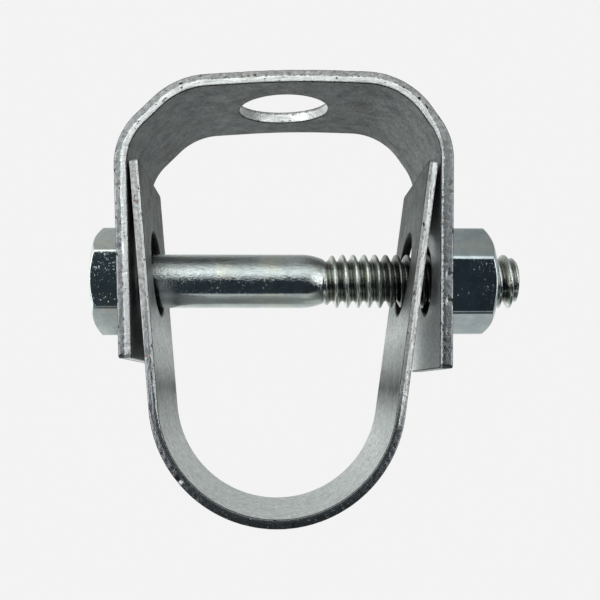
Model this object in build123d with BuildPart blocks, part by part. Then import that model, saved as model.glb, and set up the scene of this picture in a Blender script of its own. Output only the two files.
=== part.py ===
"""Clevis pipe hanger: a formed yoke, a U-shaped pipe strap, a cross bolt and its hex nut.

Millimetres, +Z up. The origin is the centre of the rod hole, on the crown's top face. X runs along
the cross bolt, with its head at -X and its nut at +X, and Y runs along the pipe. Drops are heights
measured downwards from the origin.
"""
import os
from math import asin, atan2, cos, degrees, hypot, radians, sin, sqrt, tan

from build123d import *

os.makedirs("parts", exist_ok=True)

# Both straps are cut from one width of strip.
strip_width = 19.05

# Yoke: an arched crown that tilts a little, two shoulders with a bend above and below, and two
# legs that toe in. The two sides differ a little, as they come off the press. The leg room is
# how far each leg's outer face stands out from the bowl's bore.
yoke_thickness = 1.4
leg_room = 5.92
shoulder_drop = 7.45
shoulder_bend_radius = 7.7
left_shoulder_run = 6.65
right_shoulder_run = 4.95
crown_slope = 2.8
crown_tilt = 1.2
crown_arch_radius = 110.0
crown_bend_radius = 9.0
left_toe_in = 2.4
right_toe_in = 1.5
left_foot_drop = 31.6
right_foot_drop = 32.75
rod_hole_radius = 5.35
yoke_bolt_hole_radius = 3.97

# Cross bolt, 1/4 inch by 20 threads to the inch, and its nut. The nut's bore runs on the crests.
bolt_drop = 22.2
bolt_radius = 3.15
thread_root_radius = 2.4
shank_length = 20.4
neck_length = 2.4
thread_length = 22.75
bolt_end_chamfer = 0.7
hex_across_flats = 11.0
hex_face_radius = 5.25
hex_chamfer_angle = 30.0
head_height = 3.5
head_turn = 3.0
nut_height = 5.75
nut_turn = 10.0
nut_running_gap = 0.05
bearing_gap = 0.05

# Pipe strap: a round bowl whose legs lean out to the yoke's legs. The bowl hangs a little to the
# left, and the strap's bolt holes ride above the bolt's axis.
strap_thickness = 1.0
bowl_radius = 12.63
bowl_centre_drop = 35.7
bowl_shift = 0.73
strap_top_drop = 9.95
strap_side_gap = 0.33
strap_bolt_hole_radius = 4.85
strap_ride = 0.85


def punch(x, drop, lean, radius, depth):
    """Cut a round hole square through a leg that leans out by an angle from upright."""
    leg_face = Plane(
        origin=(x, 0, -drop),
        x_dir=(0, 1, 0),
        z_dir=(cos(radians(lean)), 0, -sin(radians(lean))),
    )
    with BuildSketch(leg_face) as hole:
        Circle(radius)
    extrude(hole.sketch, amount=depth, both=True, mode=Mode.SUBTRACT)


# ---- upper_yoke: crown, shoulders and legs from one strip ----
yoke_half_width = bowl_radius + leg_room


def yoke_reach(toe_in, drop):
    """Distance of a yoke leg's outer face from the rod's line, at a drop along the leg."""
    return yoke_half_width - (drop - shoulder_drop) * tan(radians(toe_in))


crown_left_reach = yoke_half_width - left_shoulder_run
crown_right_reach = yoke_half_width - right_shoulder_run
crown_half_span = (crown_left_reach + crown_right_reach) / 2
crown_peak = crown_arch_radius * (1 / cos(radians(crown_slope)) - 1)
crown_left_end = crown_peak - crown_half_span * tan(radians(crown_slope + crown_tilt))
crown_right_end = crown_peak - crown_half_span * tan(radians(crown_slope - crown_tilt))

with BuildPart() as upper_yoke:
    with BuildSketch(Plane.XZ):
        with BuildLine():
            FilletPolyline(
                (-yoke_reach(left_toe_in, left_foot_drop), -left_foot_drop),
                (-yoke_half_width, -shoulder_drop),
                (-crown_left_reach, crown_left_end),
                (crown_half_span - crown_left_reach, crown_peak),
                (crown_right_reach, crown_right_end),
                (yoke_half_width, -shoulder_drop),
                (yoke_reach(right_toe_in, right_foot_drop), -right_foot_drop),
                radius=(
                    shoulder_bend_radius,
                    crown_bend_radius,
                    crown_arch_radius,
                    crown_bend_radius,
                    shoulder_bend_radius,
                ),
            )
            offset(amount=yoke_thickness, side=Side.RIGHT)
        make_face()
    extrude(amount=strip_width / 2, both=True)
    with BuildSketch(Plane.XY):
        Circle(rod_hole_radius)
    extrude(amount=2 * yoke_thickness, both=True, mode=Mode.SUBTRACT)
    left_reach = yoke_reach(left_toe_in, bolt_drop)
    punch(-left_reach, bolt_drop, left_toe_in, yoke_bolt_hole_radius, 2 * yoke_thickness)
    right_reach = yoke_reach(right_toe_in, bolt_drop)
    punch(right_reach, bolt_drop, -right_toe_in, yoke_bolt_hole_radius, 2 * yoke_thickness)

upper_yoke.part.label = "upper_yoke"
export_step(upper_yoke.part, "parts/upper_yoke.step")


# ---- lower_strap: a bowl of true radius, with legs tangent to it that reach the yoke's legs ----
strap_mouth = yoke_half_width - yoke_thickness - strap_side_gap - strap_thickness


def strap_lean(reach):
    """Lean from upright of a leg, tangent to the bowl, whose top stands this far from its centre."""
    rise = bowl_centre_drop - strap_top_drop
    return degrees(atan2(reach, rise) - asin(bowl_radius / hypot(reach, rise)))


def strap_leg(side, reach):
    """Inner line of a leg from its top to the bowl: side is -1 for the left and 1 for the right."""
    lean = radians(strap_lean(reach))
    tangent_x = -bowl_shift + side * bowl_radius * cos(lean)
    return Line(
        (side * strap_mouth, -strap_top_drop),
        (tangent_x, -bowl_centre_drop - bowl_radius * sin(lean)),
    )


with BuildPart() as lower_strap:
    with BuildSketch(Plane.XZ):
        with BuildLine():
            left_side = strap_leg(-1, strap_mouth - bowl_shift)
            right_side = strap_leg(1, strap_mouth + bowl_shift)
            TangentArc(left_side @ 1, right_side @ 1, tangent=left_side % 1)
            offset(amount=strap_thickness, side=Side.RIGHT)
        make_face()
    extrude(amount=strip_width / 2, both=True)
    for side, reach in ((-1, strap_mouth - bowl_shift), (1, strap_mouth + bowl_shift)):
        hole_drop = bolt_drop - strap_ride
        hole_x = strap_mouth - (hole_drop - strap_top_drop) * tan(radians(strap_lean(reach)))
        punch(
            side * hole_x,
            hole_drop,
            side * strap_lean(reach),
            strap_bolt_hole_radius,
            2 * strap_thickness,
        )

lower_strap.part.label = "lower_strap"
export_step(lower_strap.part, "parts/lower_strap.step")


# ---- cross_bolt and hex_nut: bearing faces clear the toed-in legs where a hex corner points up ----
hex_corner_radius = hex_across_flats / sqrt(3)
bearing_drop = bolt_drop - hex_corner_radius
head_bearing = -yoke_reach(left_toe_in, bearing_drop) - bearing_gap
nut_bearing = yoke_reach(right_toe_in, bearing_drop) + bearing_gap
bolt_line = Axis((0, 0, -bolt_drop), (1, 0, 0))
bolt_section = Plane(origin=(0, 0, -bolt_drop), x_dir=(1, 0, 0), z_dir=(0, -1, 0))
bolt_end_view = Plane(origin=(0, 0, -bolt_drop), x_dir=(0, 1, 0), z_dir=(1, 0, 0))


def hex_block(bearing, height, turn):
    """Hexagon on the bolt's axis from its bearing face, with the corners of its far end turned off."""
    with BuildSketch(bolt_end_view.offset(bearing)) as hexagon:
        RegularPolygon(hex_across_flats / 2, 6, major_radius=False, rotation=30 + turn)
    extrude(hexagon.sketch, amount=height)
    past_corner = hex_corner_radius + 1
    far_face = bearing + height
    outward = 1 if height > 0 else -1
    turned_off = (past_corner - hex_face_radius) * tan(radians(hex_chamfer_angle))
    with BuildSketch(bolt_section) as envelope:
        Polygon(
            (bearing, 0),
            (bearing, past_corner),
            (far_face - outward * turned_off, past_corner),
            (far_face, hex_face_radius),
            (far_face, 0),
            align=None,
        )
    revolve(envelope.sketch, axis=bolt_line, mode=Mode.INTERSECT)


with BuildPart() as cross_bolt:
    hex_block(head_bearing, -head_height, head_turn)
    neck_start = head_bearing + shank_length
    thread_start = neck_start + neck_length
    thread_end = thread_start + thread_length
    with BuildSketch(bolt_section):
        Polygon(
            (head_bearing, 0),
            (head_bearing, bolt_radius),
            (neck_start, bolt_radius),
            (thread_start, thread_root_radius),
            (thread_start + neck_length / 2, bolt_radius),
            (thread_end - bolt_end_chamfer, bolt_radius),
            (thread_end, bolt_radius - bolt_end_chamfer),
            (thread_end, 0),
            align=None,
        )
    revolve(axis=bolt_line)

cross_bolt.part.label = "cross_bolt"
export_step(cross_bolt.part, "parts/cross_bolt.step")


with BuildPart() as hex_nut:
    hex_block(nut_bearing, nut_height, nut_turn)
    with BuildSketch(bolt_end_view.offset(nut_bearing)):
        Circle(bolt_radius + nut_running_gap)
    extrude(amount=nut_height, mode=Mode.SUBTRACT)

hex_nut.part.label = "hex_nut"
export_step(hex_nut.part, "parts/hex_nut.step")
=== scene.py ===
"""Looks of the clevis pipe hanger: zinc-plated strips with sheared edges, and a zinc bolt and nut.

Sizes are in millimetres, and are scaled to metres where a mesh is made. The origin is the centre
of the rod hole on the crown's top face, +Z is up, and X runs along the cross bolt, nut at +X.
"""
from math import asin, atan, atan2, cos, hypot, pi, radians, sin, sqrt, tan

import bpy
from mathutils import Matrix, Vector, geometry, noise


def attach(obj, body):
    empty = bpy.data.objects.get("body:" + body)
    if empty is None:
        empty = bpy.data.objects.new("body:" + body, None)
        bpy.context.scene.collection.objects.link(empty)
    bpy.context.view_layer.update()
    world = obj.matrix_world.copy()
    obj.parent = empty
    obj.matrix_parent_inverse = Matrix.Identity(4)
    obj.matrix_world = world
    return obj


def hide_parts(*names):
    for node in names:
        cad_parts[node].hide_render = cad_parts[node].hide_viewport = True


MM = 0.001

# Strips
strip_width = 19.05
yoke_thickness = 1.4
strap_thickness = 1.0

# Yoke
leg_room = 5.92
shoulder_drop = 7.45
shoulder_bend_radius = 7.7
left_shoulder_run = 6.65
right_shoulder_run = 4.95
crown_slope = 2.8
crown_tilt = 1.2
crown_arch_radius = 110.0
crown_bend_radius = 9.0
left_toe_in = 2.4
right_toe_in = 1.5
left_foot_drop = 31.6
right_foot_drop = 32.75
rod_hole_radius = 5.35
yoke_bolt_hole_radius = 3.97

# Strap
bowl_radius = 12.63
bowl_centre_drop = 35.7
bowl_shift = 0.73
strap_top_drop = 9.95
strap_side_gap = 0.33
strap_bolt_hole_radius = 4.85
strap_ride = 0.85

# Bolt and nut
bolt_drop = 22.2
bolt_radius = 3.15
shank_length = 20.4
neck_length = 2.4
neck_depth = 0.5
neck_curve = 1.8
thread_length = 22.75
thread_root_radius = 2.35
thread_pitch = 1.27
thread_crest_x = 10.68
bolt_end_chamfer = 0.7
hex_across_flats = 11.0
hex_corner_rounding = 0.32
hex_face_radius = 5.25
hex_face_rounding = 0.35
hex_chamfer_angle = 30.0
hex_bearing_rounding = 0.06
head_height = 3.5
head_turn = 3.0
head_rim_rounding = 0.16
head_cap_radius = 0.6
nut_height = 5.75
nut_turn = 10.0
nut_rim_rounding = 0.2
nut_countersink = 0.3
nut_running_gap = 0.05
bearing_gap = 0.05

yoke_half_width = bowl_radius + leg_room
strap_mouth = yoke_half_width - yoke_thickness - strap_side_gap - strap_thickness
nut_bore_radius = bolt_radius + nut_running_gap
bearing_drop = bolt_drop - hex_across_flats / sqrt(3)

# Cut edges: the outlines of the blank and its holes as points, and how a shear leaves their rims.
blank_corner_radius = 0.45
blank_corner_steps = 4
blank_step = 0.22
hole_points = 120
face_margin = 0.34

# Each step across an edge, from the face the blade enters to the face it leaves, is its share of
# the thickness and how far out it reaches: the rolled corner, the wiped band and the torn band.
# The first and the last lie a margin inside the outline, where the flat faces begin.
shear_steps = (
    (0.00, -face_margin),
    (0.00, -0.09),
    (0.015, -0.05),
    (0.05, -0.018),
    (0.10, -0.004),
    (0.20, 0.0),
    (0.34, 0.0),
    (0.44, 0.0),
    (0.54, -0.006),
    (0.64, -0.018),
    (0.74, -0.032),
    (0.84, -0.045),
    (0.94, -0.06),
    (1.00, -0.10),
    (1.00, -face_margin),
)

# The torn band is rough: how high, how far back and how fine its grain is, and how far the grain
# shifts along the edge from one face to the other.
torn_from = 0.5
torn_height = 0.045
torn_retreat = 0.012
torn_grain = 0.35
torn_shift = 9

# Chips out of an edge: their size, their own seed, how rare, how steep and how deep they are.
torn_chips = (0.7, 20, 0.48, 0.5, 0.14)
wiped_chips = (0.5, 30, 0.45, 0.25, 0.1)

# The shiny band that the blade wiped across the wall of a hole, as shares of the thickness.
bolt_hole_band = (0.06, 0.5)
rod_hole_band = (0.06, 0.8)
band_fade = 0.24

# A mark on the mesh darkens the metal: up to 1 it darkens a burr in bits, as a dark line, and above
# 1 it paints shade over a whole wall. A burr is the step at the far face and those within this
# share of the entered one.
rolled_share = 0.06
burr_line_darkness = 0.8
hole_wall_shade = 2.0

# Flat faces: how far apart the points inside them are, how far they keep from a hole's rim, and
# the kind of triangulation that fills outlines. Then the millimetres in a UV unit.
face_step = 0.5
face_rows = 15
hole_clearance = 0.25
weld_distance = 1e-6
fill_outlines = 1
uv_unit = 10


# ---------------------------------------------------------------- bent strips
class Path:
    """A line in the XZ section made of straight runs and tangent arcs."""

    def __init__(self, start, heading):
        self.runs = []
        self.end = Vector(start)
        self.heading = Vector(heading).normalized()
        self.length = 0.0

    def add(self, length, turn=0.0):
        """Go on by a length while the heading turns evenly by an angle, anticlockwise positive."""
        self.runs.append((self.end, self.heading, length, turn / length))
        self.end, self.heading = place_on_run(self.runs[-1], length)
        self.length += length

    def stations(self, step):
        """Distances along the path, about a step apart, that keep the ends of every run."""
        marks = [0.0]
        for _, _, length, _ in self.runs:
            count = max(1, round(length / step))
            first = marks[-1]
            marks += [first + length * (k + 1) / count for k in range(count)]
        return marks

    def at(self, distance):
        """Point and heading at a distance along the path."""
        for run in self.runs[:-1]:
            if distance <= run[2]:
                return place_on_run(run, distance)
            distance -= run[2]
        return place_on_run(self.runs[-1], distance)

    def find(self, low, high, measure, halvings=40):
        """Distance between two others at which a measure of the point passes through zero."""
        rising = measure(self.at(high)[0]) > 0
        for _ in range(halvings):
            middle = (low + high) / 2
            if (measure(self.at(middle)[0]) > 0) == rising:
                high = middle
            else:
                low = middle
        return (low + high) / 2


def place_on_run(run, distance):
    """Point and heading at a distance along one straight or evenly turning run."""
    start, heading, _, curvature = run
    if not curvature:
        return start + heading * distance, heading
    turned = Matrix.Rotation(distance * curvature, 2) @ heading
    left, turned_left = Vector((-heading.y, heading.x)), Vector((-turned.y, turned.x))
    return start + (left - turned_left) / curvature, turned


def yoke_reach(toe_in, drop):
    """Distance of a yoke leg's outer face from the rod's line, at a drop along the leg."""
    return yoke_half_width - (drop - shoulder_drop) * tan(radians(toe_in))


def yoke_path():
    """Outer face of the yoke, from the left foot over the crown to the right foot."""
    left_reach = yoke_half_width - left_shoulder_run
    right_reach = yoke_half_width - right_shoulder_run
    half_span = (left_reach + right_reach) / 2
    peak = crown_arch_radius * (1 / cos(radians(crown_slope)) - 1)
    corners = [
        (-yoke_reach(left_toe_in, left_foot_drop), -left_foot_drop),
        (-yoke_half_width, -shoulder_drop),
        (-left_reach, peak - half_span * tan(radians(crown_slope + crown_tilt))),
        (half_span - left_reach, peak),
        (right_reach, peak - half_span * tan(radians(crown_slope - crown_tilt))),
        (yoke_half_width, -shoulder_drop),
        (yoke_reach(right_toe_in, right_foot_drop), -right_foot_drop),
    ]
    corners = [Vector(corner) for corner in corners]
    radii = (
        shoulder_bend_radius,
        crown_bend_radius,
        crown_arch_radius,
        crown_bend_radius,
        shoulder_bend_radius,
    )
    path = Path(corners[0], corners[1] - corners[0])
    for corner, following, radius in zip(corners[1:], corners[2:], radii):
        away = (following - corner).normalized()
        cross = path.heading.x * away.y - path.heading.y * away.x
        turn = atan2(cross, path.heading.dot(away))
        path.add((corner - path.end).length - radius * tan(abs(turn) / 2))
        path.add(radius * abs(turn), turn)
    path.add((corners[-1] - path.end).length)
    return path


def strap_lean(reach):
    """Lean from upright of a strap leg whose top stands this far from the bowl's centre."""
    rise = bowl_centre_drop - strap_top_drop
    return atan2(reach, rise) - asin(bowl_radius / hypot(reach, rise))


def strap_path():
    """Inner face of the strap, from the left top round the bowl to the right top."""
    rise = bowl_centre_drop - strap_top_drop
    left_reach, right_reach = strap_mouth - bowl_shift, strap_mouth + bowl_shift
    left_lean, right_lean = strap_lean(left_reach), strap_lean(right_reach)
    path = Path((-strap_mouth, -strap_top_drop), (sin(left_lean), -cos(left_lean)))
    path.add(sqrt(left_reach**2 + rise**2 - bowl_radius**2))
    turn = pi - left_lean - right_lean
    path.add(bowl_radius * turn, turn)
    path.add(sqrt(right_reach**2 + rise**2 - bowl_radius**2))
    return path


def blank_outline(length):
    """Outline of the flat strip as (point, outward normal) pairs, anticlockwise."""
    far, half = length - blank_corner_radius, strip_width / 2 - blank_corner_radius
    centres = [(far, half), (blank_corner_radius, half), (blank_corner_radius, -half), (far, -half)]
    pairs = []
    for i, centre in enumerate(centres):
        for k in range(blank_corner_steps + 1):
            angle = radians(90 * (i + k / blank_corner_steps))
            normal = Vector((cos(angle), sin(angle)))
            pairs.append((Vector(centre) + normal * blank_corner_radius, normal))
        here, normal = pairs[-1]
        there = Vector(centres[(i + 1) % 4]) + normal * blank_corner_radius
        count = max(1, round((there - here).length / blank_step))
        pairs += [(here.lerp(there, k / count), normal) for k in range(1, count)]
    return pairs


def hole_outline(centre, radius):
    """Outline of a punched hole as (point, normal into the hole) pairs, clockwise."""
    pairs = []
    for k in range(hole_points):
        angle = 2 * pi * k / hole_points
        normal = Vector((-cos(angle), sin(angle)))
        pairs.append((Vector(centre) - normal * radius, normal))
    return pairs


def bolt_hole(path, low, high, drop, radius):
    """A strip's bolt hole, which lies at a drop between two shares of the strip's length."""
    place = path.find(low * path.length, high * path.length, lambda point: point.y + drop)
    # Its wall gets painted shade.
    return place, radius, bolt_hole_band, hole_wall_shade


def wander(place, size, seed):
    """Smooth noise of about plus or minus one, with features of a size in millimetres."""
    return noise.noise(Vector((place[0] / size, place[1] / size, seed)))


def chip(point, seed, chips):
    """Depth of the chip out of an edge at a point, which is zero along most of the edge."""
    size, own_seed, rarity, steepness, deepest = chips
    return min(deepest, steepness * max(0.0, wander(point, size, seed + own_seed) - rarity))


def sheared_loop(pairs, thickness, share, reach, seed):
    """Points (s, w, depth) of one step across a sheared edge, chipped and rough where it tore."""
    loop = []
    for point, normal in pairs:
        back = reach
        if share > torn_from and reach > -face_margin:
            spot = (point.x + share * torn_shift, point.y)
            back += torn_height * wander(spot, torn_grain, seed) - torn_retreat
            back -= chip(point, seed, torn_chips)
        elif share > 0 and reach > -face_margin:
            back -= chip(point, seed, wiped_chips)
        flat = point + normal * min(0.0, back)
        loop.append((flat.x, flat.y, thickness * share))
    return loop


def between(s, stops):
    """Value at s on straight lines between stops of (place, value)."""
    for (left, low), (right, high) in zip(stops, stops[1:]):
        if s <= right:
            return low + (high - low) * max(0.0, s - left) / (right - left)
    return stops[-1][1]


def yoke_bands(s):
    """Where the shiny band begins and ends across the yoke's edge: a thin line on the right leg."""
    return between(s, ((62, 0.08), (68, 0.06))), between(s, ((62, 0.52), (68, 0.19)))


def strap_bands(s):
    """Where the shiny band begins and ends across the strap's edge: it is lost round the bowl."""
    low = between(s, ((24, 0.02), (32, 0.1), (61, 0.5), (66, 0.42)))
    high = between(s, ((24, 0.3), (32, 0.0), (61, 0.4), (66, 0.86)))
    return low, high


def band_shine(share, low, high):
    """How far a point across the edge lies inside the shiny band, from 0 to 1."""
    return max(0.0, min(1.0, 0.5 + min(share - low, high - share) / band_fade))


def inside(point, loop):
    """Whether a flat point lies inside a closed loop of points."""
    crossings = 0
    for a, b in zip(loop, loop[1:] + loop[:1]):
        if (a.y > point.y) != (b.y > point.y):
            crossings += point.x < a.x + (point.y - a.y) * (b.x - a.x) / (b.y - a.y)
    return crossings % 2 == 1


def triangulate(outlines, path):
    """Points inside a flat face, and triangles that fill it between its outline and its holes."""
    loops = [[Vector(p[:2]) for p in outline] for outline in outlines]
    points = [p for loop in loops for p in loop]
    edges, owner = [], []
    for number, loop in enumerate(loops):
        first = len(owner)
        edges += [(first + k, first + (k + 1) % len(loop)) for k in range(len(loop))]
        owner += [number] * len(loop)
    holes = []
    for loop in loops[1:]:
        centre = sum(loop, Vector((0, 0))) / len(loop)
        holes.append((centre, (loop[0] - centre).length + hole_clearance))
    for s in path.stations(face_step)[1:-1]:
        for k in range(1, face_rows):
            p = Vector((s, strip_width * (k / face_rows - 0.5)))
            if all((p - centre).length > reach for centre, reach in holes):
                points.append(p)
    owner += [0] * (len(points) - len(owner))
    verts, _, faces, origin, _, _ = geometry.delaunay_2d_cdt(
        points, edges, [], fill_outlines, weld_distance
    )
    ids_of = []
    for vert, same in zip(verts, origin):
        if not same:
            points.append(vert)
            owner.append(0)
        ids_of.append(same[0] if same else len(points) - 1)
    kept = []
    for face in faces:
        ids = [ids_of[v] for v in face]
        owners = {owner[v] for v in ids}
        middle = sum((verts[v] for v in face), Vector((0, 0))) / 3
        # Only a triangle with all its corners on one hole's rim can lie in that hole.
        if owners == {0} or len(owners) > 1 or not inside(middle, loops[owner[ids[0]]]):
            kept.append(ids)
    return points[sum(len(loop) for loop in loops):], kept


def sheared_blank(path, thickness, holes, bands, seed):
    """A flat blank: its points (s, w, depth), its faces, which of its rims' faces are cut edges,
    and the marks at its points.

    Each hole is its place along the strip, its radius, its shiny band and the painted shade on its
    wall.
    Bands gives the shiny band of the outline at a place along the strip.
    """
    rims = [(blank_outline(path.length), None, 0.0)]
    rims += [(hole_outline((s, 0), radius), band, darkening) for s, radius, band, darkening in holes]
    flat, faces, on_edge, stacks = [], [], [], []
    marks = {"shine": [], "burr_line_and_hole_shade": [], "across": []}
    for pairs, band, darkening in rims:
        stack = []
        for share, reach in shear_steps:
            loop = sheared_loop(pairs, thickness, share, reach, seed)
            stack.append(range(len(flat), len(flat) + len(loop)))
            flat += loop
            # A burr gets a dark line in bits, and a bolt hole's wall gets painted shade.
            burr = burr_line_darkness if share < rolled_share or share == 1 else 0.0
            marks["shine"] += [band_shine(share, *(band or bands(p.x))) for p, _ in pairs]
            marks["burr_line_and_hole_shade"] += [max(burr, darkening) if reach > -face_margin else 0.0] * len(loop)
            marks["across"] += [share] * len(loop)
        stacks.append(stack)
        for step, (here, there) in enumerate(zip(stack, stack[1:])):
            for k in range(len(pairs)):
                j = (k + 1) % len(pairs)
                faces.append([here[k], here[j], there[j], there[k]])
                on_edge.append(0 < step < len(stack) - 2)
    for side, index in ((0, 0), (1, -1)):
        outlines = [[flat[v] for v in stack[index]] for stack in stacks]
        ids = [v for stack in stacks for v in stack[index]]
        points, triangles = triangulate(outlines, path)
        ids += range(len(flat), len(flat) + len(points))
        flat += [(p.x, p.y, side * thickness) for p in points]
        for name, level in (("shine", 0.0), ("burr_line_and_hole_shade", 0.0), ("across", float(side))):
            marks[name] += [level] * len(points)
        for triangle in triangles:
            face = [ids[v] for v in triangle]
            faces.append(face if side else face[::-1])
    return flat, faces, on_edge, marks


def bent_strip(name, path, thickness, holes, enters_reference, bands, materials, seed):
    """A strip bent along a path. Its reference face lies on the path, its metal to the right.

    The blade enters the reference face or leaves it. The materials are the faces' and the edges'.
    """
    flat, faces, on_edge, marks = sheared_blank(path, thickness, holes, bands, seed)
    if not enters_reference:
        flat = [(s, w, thickness - depth) for s, w, depth in flat]
        faces = [face[::-1] for face in faces]
    verts = []
    for s, w, depth in flat:
        point, heading = path.at(s)
        spot = point + Vector((heading.y, -heading.x)) * depth
        verts.append((spot.x * MM, w * MM, spot.y * MM))
    strip = new_mesh(name, verts, faces)
    for material in materials:
        strip.data.materials.append(material)
    for polygon, is_edge in zip(strip.data.polygons, on_edge):
        polygon.material_index = int(is_edge)
    for label, values in marks.items():
        strip.data.attributes.new(label, "FLOAT", "POINT").data.foreach_set("value", values)
    uv = strip.data.uv_layers.new(name="flat_strip")
    for loop in strip.data.loops:
        s, w, depth = flat[loop.vertex_index]
        uv.data[loop.index].uv = (s / uv_unit, (w + depth) / uv_unit)
    return strip


def new_mesh(name, verts, faces):
    """A smooth-shaded object made of these vertices and faces."""
    data = bpy.data.meshes.new(name)
    data.from_pydata(verts, [], faces)
    data.validate()
    obj = bpy.data.objects.new(name, data)
    bpy.context.scene.collection.objects.link(obj)
    data.shade_smooth()
    return obj


# ---------------------------------------------------------------- bolt and nut
def sector_angles():
    """Angles round the bolt, closer together near the hexagon's corners, from a corner."""
    half = (0, 0.7, 1.4, 2.2, 3.2, 4.8, 7.5, 11, 15, 20, 25, 30)
    sector = half + tuple(60 - offset for offset in half[-2:0:-1])
    return [radians(60 * k + offset) for k in range(6) for offset in sector]


def hex_radius(angle):
    """Distance from the axis to a hexagon's side, at an angle from one of its rounded corners."""
    apothem = hex_across_flats / 2
    off = (angle + pi / 6) % (pi / 3) - pi / 6
    centre = (apothem - hex_corner_rounding) / cos(pi / 6)
    if abs(off) < pi / 6 - atan(centre * sin(pi / 6) / apothem):
        rest = hex_corner_rounding**2 - (centre * sin(off)) ** 2
        return centre * cos(off) + sqrt(max(0.0, rest))
    return apothem / cos(pi / 6 - abs(off))


def rounded_profile(points, radii, steps=4, longest=0.45):
    """A polyline of (radius, height) points with each inner corner rounded, in equal counts.

    A rounding takes up no more than the longest share of the sides beside it.
    """
    out = [points[0]]
    for before, corner, after, radius in zip(points, points[1:], points[2:], radii):
        back = Vector(before) - Vector(corner)
        away = Vector(after) - Vector(corner)
        half = back.angle(away) / 2
        reach = min(radius / tan(half), back.length * longest, away.length * longest)
        first = Vector(corner) + back.normalized() * reach
        last = Vector(corner) + away.normalized() * reach
        for k in range(steps + 1):
            t = k / steps
            spot = first * (1 - t) ** 2 + Vector(corner) * 2 * t * (1 - t) + last * t**2
            out.append((spot.x, spot.y))
    out.append(points[-1])
    return out


def hex_profile(angle, height, inner_radius, rim_rounding):
    """Section of a hexagon block at an angle, from its far face's middle to its bearing face."""
    side = hex_radius(angle)
    shoulder = height - (side - hex_face_radius) * tan(radians(hex_chamfer_angle))
    points = [
        (inner_radius, height),
        (hex_face_radius, height),
        (side, shoulder),
        (side, 0.0),
        (nut_bore_radius, 0.0),
    ]
    return rounded_profile(points, (hex_face_rounding, rim_rounding, hex_bearing_rounding))


def hex_rings(angles, turn, bearing, outward, height, inner_radius, rim_rounding):
    """Rings (x, radius) of a hexagon block, from its far face's middle to its bearing face."""
    turned = [angle - radians(turn) for angle in angles]
    profiles = [hex_profile(angle, height, inner_radius, rim_rounding) for angle in turned]
    return [[(bearing + outward * up, radius) for radius, up in ring] for ring in zip(*profiles)]


def polar_mesh(name, rings, angles, material, closed):
    """A surface of rings about the bolt's axis. Each ring lists (x, radius) for every angle.

    A closed surface joins its last ring to its first, and an open one has a fan at each end.
    """
    count = len(angles)
    verts = []
    for ring in rings:
        for (x, radius), angle in zip(ring, angles):
            z = radius * cos(angle) - bolt_drop
            verts.append((x * MM, -radius * sin(angle) * MM, z * MM))
    faces = []
    for i in range(len(rings) if closed else len(rings) - 1):
        here, there = i * count, (i + 1) % len(rings) * count
        for k in range(count):
            j = (k + 1) % count
            faces.append([here + k, there + k, there + j, here + j])
    if not closed:
        for row, turned in ((0, False), (len(rings) - 1, True)):
            ids = [row * count + k for k in range(count)]
            middle = len(verts)
            verts.append((rings[row][0][0] * MM, 0.0, -bolt_drop * MM))
            for k in range(count):
                j = (k + 1) % count
                faces.append([ids[j], ids[k], middle] if turned else [ids[k], ids[j], middle])
    obj = new_mesh(name, verts, faces)
    obj.data.materials.append(material)
    uv = obj.data.uv_layers.new(name="round_the_axis")
    for loop in obj.data.loops:
        v = loop.vertex_index
        along = verts[v][0] / MM
        round_it = angles[v % count] if v < len(rings) * count else 0.0
        uv.data[loop.index].uv = (along / uv_unit, round_it * bolt_radius / uv_unit)
    return obj


def thread_radius(x, angle, start, end):
    """Radius of the thread's surface: a right-hand helix that fades in at its start."""
    crest_flat, flank_share = 0.16, 0.72
    first_height, fade_in_pitches = 0.35, 1.1
    phase = (x - thread_crest_x) / thread_pitch - angle / (2 * pi)
    from_crest = abs((phase + 0.5) % 1 - 0.5) * 2
    flank = min(1.0, max(0.0, (from_crest - crest_flat) / flank_share))
    eased = flank * flank * (3 - 2 * flank)
    flank = 0.75 * flank + 0.25 * eased
    grown = min(1.0, max(0.0, (x - start) / (fade_in_pitches * thread_pitch)))
    height = (bolt_radius - thread_root_radius) * (first_height + (1 - first_height) * grown)
    radius = thread_root_radius + height - height * flank
    return min(radius, bolt_radius - max(0.0, x - (end - bolt_end_chamfer)))


def cross_bolt(material):
    """Head, shank, neck, thread and chamfered end in one skin."""
    shank_rings, neck_rings, rings_per_pitch = 48, 12, 15
    end_face_shares = (0.97, 0.9, 0.5)
    angles = sector_angles()
    bearing = -yoke_reach(left_toe_in, bearing_drop) - bearing_gap
    rings = hex_rings(
        angles, head_turn, bearing, -1, head_height, head_cap_radius, head_rim_rounding
    )
    for k in range(shank_rings + 1):
        rings.append([(bearing + shank_length * k / shank_rings, bolt_radius)] * len(angles))
    neck_start = bearing + shank_length
    for k in range(1, neck_rings + 1):
        radius = bolt_radius - neck_depth * (k / neck_rings) ** neck_curve
        rings.append([(neck_start + neck_length * k / neck_rings, radius)] * len(angles))
    start = neck_start + neck_length
    end = start + thread_length
    count = round(thread_length / thread_pitch * rings_per_pitch)
    for k in range(1, count + 1):
        x = start + thread_length * k / count
        rings.append([(x, thread_radius(x, angle, start, end)) for angle in angles])
    for share in end_face_shares:
        rings.append([(end, share * min(radius for _, radius in rings[-1]))] * len(angles))
    return polar_mesh("bolt_skin", rings, angles, material, closed=False)


def hex_nut(material):
    """The nut's hexagon with a bore that is countersunk at its far end."""
    bore_rings = 5
    angles = sector_angles()
    bearing = yoke_reach(right_toe_in, bearing_drop) + bearing_gap
    mouth_radius, bore_length = nut_bore_radius + nut_countersink, nut_height - nut_countersink
    rings = [[(bearing + bore_length, nut_bore_radius)] * len(angles)]
    rings += hex_rings(angles, nut_turn, bearing, 1, nut_height, mouth_radius, nut_rim_rounding)
    for k in range(1, bore_rings):
        rings.append([(bearing + bore_length * k / bore_rings, nut_bore_radius)] * len(angles))
    return polar_mesh("nut_skin", rings[::-1], angles, material, closed=True)


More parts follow.
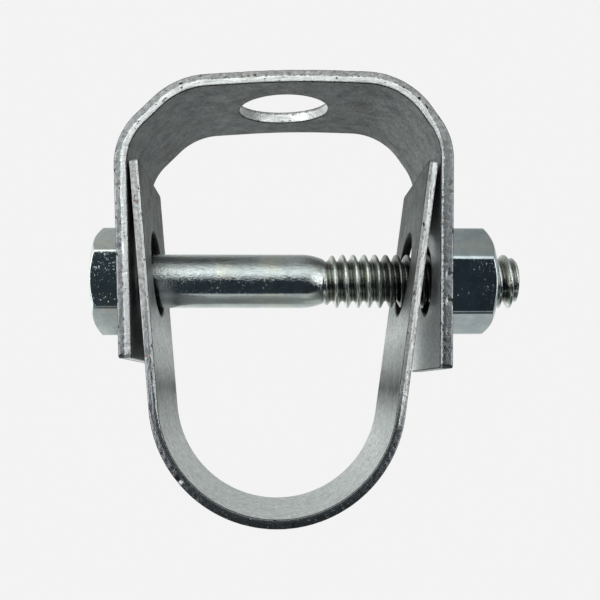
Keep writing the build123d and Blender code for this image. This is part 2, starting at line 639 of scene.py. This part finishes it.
# ---------------------------------------------------------------- materials
stain_colour = (0.10, 0.10, 0.095)
# Painted shade on the strips' faces, which is also the colour of their pits and scratches.
shade_and_pit_colour = (0.03, 0.031, 0.03)
pit_colour = (0.03, 0.027, 0.025)
# Dark burr lines, and painted shade on the walls of the bolt holes.
burr_and_hole_shade_colour = (0.02, 0.02, 0.02)
# Painted shade on the bolt's thread: in its roots, and where it runs through the holes.
thread_shade_colour = (0.06, 0.06, 0.06)
# A dark bluish painted shade for the torn band of the sheared edges.
polished_shade_colour = (0.105, 0.13, 0.155)
burnished_colour = (0.99, 1.0, 1.0)
# The glancing reflection on the strips' faces: as it is, and dimmed under painted shade and pits.
bright_glance = (0.98, 1.0, 1.0)
shade_and_pit_glance = (0.10, 0.10, 0.10)

# Places along X between which the bolt's thread runs, and between which painted shade on the thread
# grows and fades again: there it passes through the holes in the strap's and the yoke's right legs.
thread_from = shank_length + neck_length - yoke_half_width
thread_to = thread_from + thread_length
thread_shade_begins = (10.2, 11.8)
thread_shade_ends = (18.0, 20.0)


def set_stops(ramp, stops):
    """Give a colour ramp these stops of (place, colour), in rising order."""
    elements = ramp.color_ramp.elements
    elements.remove(elements[1])
    elements[0].position = stops[0][0]
    elements[0].color = (*stops[0][1], 1.0)
    for place, colour in stops[1:]:
        elements.new(place).color = (*colour, 1.0)


class Nodes:
    """Short words for building a node tree, in which an input is a value or another's output."""

    def __init__(self, tree):
        self.tree = tree

    def add(self, kind, inputs=None, **settings):
        """A new node of a kind, with these inputs and these settings."""
        node = self.tree.nodes.new(kind)
        for setting, value in settings.items():
            setattr(node, setting, value)
        for name, value in (inputs or {}).items():
            if isinstance(value, bpy.types.NodeSocket):
                self.tree.links.new(value, node.inputs[name])
            else:
                node.inputs[name].default_value = value
        return node

    def math(self, operation, a, b=0.0):
        return self.add("ShaderNodeMath", {0: a, 1: b}, operation=operation).outputs["Value"]

    def plus(self, a, b):
        return self.math("ADD", a, b)

    def times(self, a, b):
        return self.math("MULTIPLY", a, b)

    def larger(self, a, b):
        return self.math("MAXIMUM", a, b)

    def ramp(self, value, low, high, at_low=0.0, at_high=1.0):
        """A straight run between two levels while the value goes from low to high."""
        inputs = {"Value": value, "From Min": low, "From Max": high}
        inputs |= {"To Min": at_low, "To Max": at_high}
        return self.add("ShaderNodeMapRange", inputs).outputs["Result"]

    def colours(self, share, stops):
        """A colour that changes with a share, from stops of (share, colour)."""
        node = self.add("ShaderNodeValToRGB", {"Fac": share})
        set_stops(node, stops)
        return node.outputs["Color"]

    def split(self, vector):
        """The outputs X, Y and Z of a vector."""
        return self.add("ShaderNodeSeparateXYZ", {"Vector": vector}).outputs


class Metal(Nodes):
    """A metal's material, with places in millimetres on the object and on the flat strip."""

    def __init__(self, name):
        self.material = bpy.data.materials.new(name)
        self.material.use_nodes = True
        super().__init__(self.material.node_tree)
        self.shader = self.tree.nodes["Principled BSDF"]
        places = self.add("ShaderNodeTexCoord").outputs
        self.object_mm = self.scaled(places["Object"], (1 / MM, 1 / MM, 1 / MM))
        self.flat_mm = self.scaled(places["UV"], (uv_unit, uv_unit, uv_unit))

    def scaled(self, vector, scale):
        return self.add("ShaderNodeMapping", {"Vector": vector, "Scale": scale}).outputs["Vector"]

    def noise(self, vector, scale, detail, roughness):
        """A cloudy pattern from 0 to 1, with about this many clouds in a millimetre."""
        inputs = {"Vector": vector, "Scale": scale, "Detail": detail, "Roughness": roughness}
        return self.add("ShaderNodeTexNoise", inputs).outputs["Fac"]

    def swing(self, noise, low, high):
        """A noise stretched so that most of it runs from low to high."""
        return self.ramp(noise, 0.3, 0.7, low, high)

    def fade(self, share, at_zero, at_one):
        """A level that goes from one value to another while a share goes from zero to one."""
        return self.ramp(share, 0.0, 1.0, at_zero, at_one)

    def spots(self, vector, scale, size):
        """One where a point is near a scattered cell centre, fading out to zero at a size."""
        cells = self.add("ShaderNodeTexVoronoi", {"Vector": vector, "Scale": scale})
        return self.ramp(cells.outputs["Distance"], size * 0.6, size, 1.0, 0.0)

    def mix(self, share, a, b):
        """A colour between two others."""
        a, b = [(*colour, 1.0) if isinstance(colour, tuple) else colour for colour in (a, b)]
        return self.add("ShaderNodeMix", {"Factor": share, 6: a, 7: b}, data_type="RGBA").outputs[2]

    def bolt_places(self):
        """Distance from the bolt's axis, height above it and place along it, in millimetres."""
        place = self.split(self.object_mm)
        up = self.plus(place["Z"], bolt_drop)
        squares = self.plus(self.math("POWER", up, 2.0), self.math("POWER", place["Y"], 2.0))
        return self.math("SQRT", squares), up, place["X"]

    def mark(self, name):
        """A value stored at the mesh's points."""
        return self.add("ShaderNodeAttribute", attribute_name=name).outputs["Fac"]

    def along(self, stops, length):
        """A value that changes along the flat strip, from stops of (millimetres, value)."""
        share = self.ramp(self.split(self.flat_mm)["X"], 0.0, length)
        return self.colours(share, [(place / length, (value,) * 3) for place, value in stops])

    def bump(self, height, distance, strength, under=None):
        """The normal of a surface raised by a height, over the bumps under it if there are any."""
        inputs = {"Height": height, "Distance": distance * MM, "Strength": strength}
        if under is not None:
            inputs["Normal"] = under
        return self.add("ShaderNodeBump", inputs).outputs["Normal"]

    def burr_line_and_hole_shade(self, breaks):
        """How dark the metal is painted: painted shade all over a bolt hole's wall, and a dark line
        in bits along a burr.
        """
        darkening = self.mark("burr_line_and_hole_shade")
        burr = self.times(self.ramp(darkening, 0.3, 0.75), self.ramp(breaks, 0.36, 0.56, 0.3, 1.0))
        return self.larger(burr, self.ramp(darkening, 0.9, 1.6, 0.0, 0.9))

    def finish(self, colour, roughness, normal):
        """The material, once its shader is a metal with these inputs."""
        for name, value in (("Base Color", colour), ("Roughness", roughness), ("Normal", normal)):
            self.tree.links.new(value, self.shader.inputs[name])
        self.shader.inputs["Metallic"].default_value = 1.0
        return self.material


def strip_face(name, light, dark, dullness, mottling, painted_shading, length):
    """Dull zinc on rolled strip: mottled and finely grained, with painted shade along it.

    The painted shading is stops of (millimetres, brightness) of painted light and shade along the
    strip's inner face. The outer face has the same painted shade, but weaker.
    """
    outer_share, darkest_pit = 0.35, 0.85
    n = Metal(name)
    clouds = n.noise(n.object_mm, 0.5, 6.0, 0.7)
    grain = n.noise(n.object_mm, 3.2, 4.0, 0.7)
    mottle = n.noise(n.object_mm, 1.5, 4.0, 0.75)
    lines = n.noise(n.scaled(n.flat_mm, (0.2, 4.0, 1.0)), 1.0, 3.0, 0.6)
    stains = n.ramp(n.noise(n.object_mm, 0.9, 5.0, 0.65), 0.62, 0.72, 0.0, 0.5)
    pits = n.times(n.spots(n.object_mm, 0.8, 0.17), n.ramp(grain, 0.48, 0.58))
    scratches = n.spots(n.scaled(n.flat_mm, (0.55, 2.4, 1.0)), 0.55, 0.13)
    scratches = n.times(scratches, n.ramp(mottle, 0.46, 0.56))

    shade = n.plus(n.swing(clouds, 0.0, 1.0), n.swing(grain, -0.8, 0.9))
    shade = n.plus(shade, n.ramp(lines, 0.35, 0.65, -0.05, 0.07))
    shade = n.plus(shade, n.swing(mottle, -mottling, mottling))
    # Painted shade: the stops darken the inner face, the outer one less, and pits, scratches, burr
    # lines and the painted shade on hole walls add to it.
    shade_and_pits = n.math("SUBTRACT", 1.0, n.along(painted_shading, length))
    shade_and_pits = n.times(shade_and_pits, n.fade(n.mark("across"), 1.0, outer_share))
    shade_and_pits = n.plus(shade_and_pits, n.swing(clouds, -0.14, 0.14))
    shade_and_pits = n.larger(shade_and_pits, n.times(n.larger(pits, scratches), darkest_pit))
    shade_and_pits = n.larger(shade_and_pits, n.burr_line_and_hole_shade(mottle))
    colour = n.mix(stains, n.mix(shade, dark, light), stain_colour)
    colour = n.mix(shade_and_pits, colour, shade_and_pit_colour)
    # Painted shade on the reflection too: the glancing reflection is dimmed where shade is painted
    # and where there are pits.
    glancing = n.mix(shade_and_pits, bright_glance, shade_and_pit_glance)
    n.tree.links.new(glancing, n.shader.inputs["Specular Tint"])

    roughness = n.plus(n.swing(clouds, dullness, dullness + 0.08), n.swing(grain, -0.05, 0.05))
    normal = n.bump(lines, 0.02, 0.2)
    normal = n.bump(mottle, 0.1, 0.6, normal)
    normal = n.bump(grain, 0.08, 0.7, normal)
    return n.finish(colour, roughness, normal)


def sheared_edge(name, torn, rust, polish_and_shade, length):
    """A sheared edge: a shiny band that the blade wiped, and a torn band with pits and rust.

    Polish and shade is stops of (millimetres, share) along the strip: how smooth wear has made
    the torn band there, and how far its colour is darkened to a bluish painted shade.
    """
    n = Metal(name)
    coarse = n.noise(n.object_mm, 2.6, 6.0, 0.72)
    fine = n.noise(n.object_mm, 6.0, 3.0, 0.6)
    patches = n.noise(n.object_mm, 0.45, 4.0, 0.65)
    wipes = n.noise(n.scaled(n.flat_mm, (0.5, 4.0, 1.0)), 1.0, 5.0, 0.7)
    scores = n.noise(n.scaled(n.flat_mm, (5.0, 0.8, 1.0)), 1.0, 3.0, 0.6)
    pits = n.ramp(n.noise(n.scaled(n.flat_mm, (1.1, 2.4, 1.0)), 1.0, 3.0, 0.6), 0.63, 0.67)
    rusty = n.ramp(n.noise(n.object_mm, 1.4, 4.0, 0.6), 0.58, 0.68)
    rusty = n.times(rusty, n.ramp(patches, 0.5, 0.6))
    polished_and_shaded = n.along(polish_and_shade, length)
    wiped = n.ramp(n.plus(n.mark("shine"), n.swing(coarse, -0.34, 0.34)), 0.42, 0.58)

    torn_colour = n.mix(n.ramp(coarse, 0.32, 0.68), tuple(0.38 * c for c in torn), torn)
    # Painted shade: the torn band darkens towards a dark bluish colour where the stops say.
    torn_colour = n.mix(n.times(polished_and_shaded, 0.55), torn_colour, polished_shade_colour)
    torn_colour = n.mix(rusty, torn_colour, rust)
    streaked = tuple(0.56 * c for c in burnished_colour)
    wiped_colour = n.mix(n.ramp(wipes, 0.34, 0.56), streaked, burnished_colour)
    colour = n.mix(wiped, torn_colour, wiped_colour)
    colour = n.mix(pits, colour, pit_colour)
    # Dark burr lines in bits, and painted shade on the bolt holes' walls.
    colour = n.mix(n.burr_line_and_hole_shade(coarse), colour, burr_and_hole_shade_colour)

    torn_roughness = n.plus(n.fade(polished_and_shaded, 0.55, 0.27), n.swing(coarse, 0.08, -0.08))
    change = n.math("SUBTRACT", n.swing(wipes, 0.5, 0.34), torn_roughness)
    roughness = n.plus(torn_roughness, n.times(change, wiped))
    relief = n.times(n.fade(wiped, 1.0, 0.15), n.fade(polished_and_shaded, 1.0, 0.3))
    normal = n.bump(n.times(coarse, relief), 0.09, 0.7)
    normal = n.bump(n.times(scores, wiped), 0.05, 0.8, normal)
    normal = n.bump(fine, 0.03, 0.5, normal)
    normal = n.bump(n.fade(pits, 1.0, 0.0), 0.05, 0.7, normal)
    return n.finish(colour, roughness, normal)


def plated_zinc(name, light, dark, warm, nick_depth):
    """Bright zinc plate: a fine orange peel with speckles and small nicks, cloudy in patches."""
    n = Metal(name)
    peel = n.noise(n.scaled(n.object_mm, (1.9, 3.2, 3.2)), 1.0, 3.0, 0.75)
    speckle = n.noise(n.object_mm, 4.4, 3.0, 0.65)
    clouds = n.noise(n.object_mm, 0.6, 4.0, 0.65)
    nicks = n.times(n.spots(n.object_mm, 2.4, 0.17), n.ramp(clouds, 0.5, 0.6))
    radius, up, along = n.bolt_places()

    on_thread = n.ramp(along, thread_from, thread_from + 1.0)
    on_thread = n.times(on_thread, n.ramp(along, thread_to - 0.15, thread_to, 1.0, 0.0))
    shade_in_holes = n.times(n.ramp(along, *thread_shade_begins), n.ramp(along, *thread_shade_ends, 1.0, 0.0))
    shade_in_holes = n.times(shade_in_holes, n.ramp(radius, bolt_radius + 0.05, bolt_radius + 0.25, 0.8, 0.0))
    below_crest = n.times(n.ramp(radius, bolt_radius - 0.15, bolt_radius - 0.02, 0.6, 0.0), on_thread)
    near_root = n.ramp(radius, thread_root_radius + 0.07, bolt_radius - 0.2, 0.72, 0.0)
    tarnish = n.ramp(n.noise(n.object_mm, 0.35, 2.0, 0.5), 0.5, 0.7, 0.0, 0.6)
    colour = n.mix(n.ramp(clouds, 0.35, 0.65), dark, light)
    colour = n.mix(n.larger(tarnish, below_crest), colour, warm)
    # Painted shade in the thread's roots, and darker painted shade where it runs through the
    # strap's and the yoke's holes.
    colour = n.mix(n.larger(n.times(near_root, on_thread), shade_in_holes), colour, thread_shade_colour)

    # The peel is strong on the drawn shank's upper side, and weak below it and on the hexagons.
    drawn = n.ramp(radius, bolt_radius + 0.05, bolt_radius + 0.55, 1.0, 0.16)
    drawn = n.times(drawn, n.ramp(up, -1.5, 0.3, 0.12, 1.0))
    sparkle = n.times(n.ramp(speckle, 0.45, 0.7, 0.0, 0.12), drawn)
    roughness = n.plus(n.ramp(clouds, 0.35, 0.65, 0.05, 0.10), sparkle)
    normal = n.bump(n.times(peel, drawn), 0.1, 0.5)
    normal = n.bump(n.times(speckle, drawn), 0.06, 0.9, normal)
    normal = n.bump(n.ramp(speckle, 0.62, 0.76), 0.5 * nick_depth, 0.7, normal)
    normal = n.bump(nicks, nick_depth, 0.7, normal)
    return n.finish(colour, roughness, normal)


# ---------------------------------------------------------------- studio
# The studio's light by elevation in degrees: 0 is ahead, 90 overhead, 180 behind, -90 underfoot.
studio_light = (
    (-180, 0.52),
    (-160, 0.48),
    (-135, 0.34),
    (-125, 0.33),
    (-114, 0.06),
    (-76, 0.05),
    (-70, 0.32),
    (-65, 0.32),
    (-60, 0.02),
    (12, 0.02),
    (18, 0.82),
    (42, 0.82),
    (50, 0.32),
    (90, 0.24),
    (120, 0.20),
    (150, 0.36),
    (168, 0.51),
    (180, 0.52),
)
lit_tint = (0.955, 1.0, 0.98)
unlit_tint = (0.75, 1.05, 1.3)
unlit_level = 0.05

# How strong that light is on the far left and on the far right.
left_strength, right_strength = 2.6, 0.65

# Two windows in front, each where it lies and how strong it is. The glow of a window begins at
# the first of two cosines of the angle from its middle, and is full at the second.
windows = (((-0.67, -0.74, 0.0), 2.9), ((0.74, -0.67, 0.0), 3.4))
window_rim = (0.94, 0.98)
backdrop_grey = 0.896

camera_lens, camera_sensor = 52.58, 36.0
camera_clip_start = 5.0
camera_place = (-1.208, -102.44, -34.84)
camera_yaw, camera_pitch, camera_roll = -0.0305, 0.1015, 0.003  # radians


def studio_world():
    """A dim studio with a key light above and two windows, on a plain pale background."""
    world = bpy.data.worlds.new("studio")
    bpy.context.scene.world = world
    world.use_nodes = True
    world.node_tree.nodes.clear()
    n = Nodes(world.node_tree)
    direction = n.add("ShaderNodeTexCoord").outputs["Generated"]
    towards = n.split(direction)
    elevation = n.math("ARCTAN2", towards["Z"], n.times(towards["Y"], -1.0))
    stops = []
    for degrees_up, level in studio_light:
        tint = lit_tint if level > unlit_level else unlit_tint
        stops.append(((degrees_up + 180) / 360, tuple(level * t for t in tint)))
    colour = n.colours(n.ramp(elevation, -pi, pi), stops)
    strength = n.ramp(towards["X"], -1.0, 1.0, left_strength, right_strength)
    studio = n.add("ShaderNodeBackground", {"Color": colour, "Strength": strength})
    for middle, full_strength in windows:
        inputs = {0: direction, 1: middle}
        facing = n.add("ShaderNodeVectorMath", inputs, operation="DOT_PRODUCT").outputs["Value"]
        glow = n.ramp(facing, *window_rim, 0.0, full_strength)
        window = n.add("ShaderNodeBackground", {"Strength": glow})
        studio = n.add("ShaderNodeAddShader", {0: studio.outputs[0], 1: window.outputs[0]})
    backdrop = n.add("ShaderNodeBackground", {"Color": (backdrop_grey,) * 3 + (1.0,)})
    seen = n.add("ShaderNodeLightPath").outputs["Is Camera Ray"]
    inputs = {"Fac": seen, 1: studio.outputs[0], 2: backdrop.outputs[0]}
    choice = n.add("ShaderNodeMixShader", inputs)
    n.add("ShaderNodeOutputWorld", {"Surface": choice.outputs[0]})


def front_camera():
    """A close camera in front, a little below the bolt, that looks slightly up."""
    data = bpy.data.cameras.new("front_camera")
    data.sensor_width = camera_sensor
    data.lens = camera_lens
    data.clip_start = camera_clip_start * MM
    camera = bpy.data.objects.new("front_camera", data)
    bpy.context.scene.collection.objects.link(camera)
    look = Matrix.Rotation(camera_yaw, 3, "Z") @ Matrix.Rotation(camera_pitch, 3, "X")
    look = look @ Matrix.Rotation(camera_roll, 3, "Y") @ Matrix.Rotation(pi / 2, 3, "X")
    camera.matrix_world = Matrix.Translation(Vector(camera_place) * MM) @ look.to_4x4()
    bpy.context.scene.camera = camera


# ---------------------------------------------------------------- the scene
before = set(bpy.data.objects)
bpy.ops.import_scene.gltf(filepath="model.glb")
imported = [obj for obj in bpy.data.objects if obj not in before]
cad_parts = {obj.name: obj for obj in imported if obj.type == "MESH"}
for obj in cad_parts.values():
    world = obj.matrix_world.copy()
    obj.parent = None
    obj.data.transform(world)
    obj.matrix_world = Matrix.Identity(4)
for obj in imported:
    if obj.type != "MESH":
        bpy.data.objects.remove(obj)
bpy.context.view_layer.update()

yoke_line = yoke_path()
strap_line = strap_path()
yoke_materials = [
    strip_face(
        "yoke_zinc",
        light=(0.85, 0.86, 0.87),
        dark=(0.52, 0.53, 0.535),
        dullness=0.44,
        mottling=0.4,
        # Painted light and shade along the yoke's inner face.
        painted_shading=(
            (0, 0.36), (17, 0.28), (23, 0.42), (40, 0.40),
            (60, 0.36), (72, 0.38), (80, 1.0), (91, 1.0),
        ),
        length=yoke_line.length,
    ),
    sheared_edge(
        "yoke_edge",
        torn=(0.66, 0.66, 0.65),
        rust=(0.20, 0.12, 0.07),
        # Smoothness of the torn band along the strip, with painted bluish shade.
        polish_and_shade=((0, 0.9), (29, 0.8), (36, 0.0), (54, 0.0), (60, 0.25), (67, 0.9), (91, 1.0)),
        length=yoke_line.length,
    ),
]
strap_materials = [
    strip_face(
        "strap_zinc",
        light=(0.88, 0.90, 0.895),
        dark=(0.52, 0.535, 0.53),
        dullness=0.40,
        mottling=0.85,
        # Painted light and shade along the strap's inner face.
        painted_shading=(
            (0, 0.36), (12, 0.46), (19, 0.95), (22, 0.84), (24.5, 0.46), (27, 0.72),
            (31, 0.97), (36, 1.0), (45, 1.0), (52, 0.92), (60, 0.88), (63.5, 0.7),
            (66.5, 0.26), (70, 0.6), (73, 0.82), (79, 0.42), (91, 0.30),
        ),
        length=strap_line.length,
    ),
    sheared_edge(
        "strap_edge",
        torn=(0.765, 0.77, 0.76),
        rust=(0.17, 0.09, 0.05),
        # Smoothness of the torn band along the strip, with painted bluish shade.
        polish_and_shade=(
            (0, 0.0), (12, 0.15), (16, 0.6), (22, 1.0),
            (62, 1.0), (67, 0.5), (72, 0.35), (88, 0.2),
        ),
        length=strap_line.length,
    ),
]
bolt_material = plated_zinc(
    "bolt_plate",
    light=(0.78, 0.83, 0.83),
    dark=(0.60, 0.65, 0.66),
    warm=(0.80, 0.79, 0.66),
    nick_depth=0.019,
)
nut_material = plated_zinc(
    "nut_plate",
    light=(0.70, 0.77, 0.80),
    dark=(0.54, 0.61, 0.65),
    warm=(0.74, 0.77, 0.70),
    nick_depth=0.017,
)

rod_at = yoke_line.find(0.3 * yoke_line.length, 0.7 * yoke_line.length, lambda point: point.x)
yoke_holes = [
    bolt_hole(yoke_line, 0.0, 0.2, bolt_drop, yoke_bolt_hole_radius),
    (rod_at, rod_hole_radius, rod_hole_band, 0.0),
    bolt_hole(yoke_line, 0.8, 1.0, bolt_drop, yoke_bolt_hole_radius),
]
yoke = bent_strip(
    "yoke_strip",
    yoke_line,
    yoke_thickness,
    yoke_holes,
    enters_reference=False,
    bands=yoke_bands,
    materials=yoke_materials,
    seed=3.0,
)
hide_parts("upper_yoke")
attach(yoke, "yoke")

strap_holes = [
    bolt_hole(strap_line, 0.0, 0.25, bolt_drop - strap_ride, strap_bolt_hole_radius),
    bolt_hole(strap_line, 0.75, 1.0, bolt_drop - strap_ride, strap_bolt_hole_radius),
]
strap = bent_strip(
    "strap_strip",
    strap_line,
    strap_thickness,
    strap_holes,
    enters_reference=True,
    bands=strap_bands,
    materials=strap_materials,
    seed=11.0,
)
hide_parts("lower_strap")
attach(strap, "strap")

bolt = cross_bolt(bolt_material)
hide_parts("cross_bolt")
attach(bolt, "bolt")

nut = hex_nut(nut_material)
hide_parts("hex_nut")
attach(nut, "nut")

studio_world()
front_camera()
bpy.context.scene.view_settings.view_transform = "Standard"
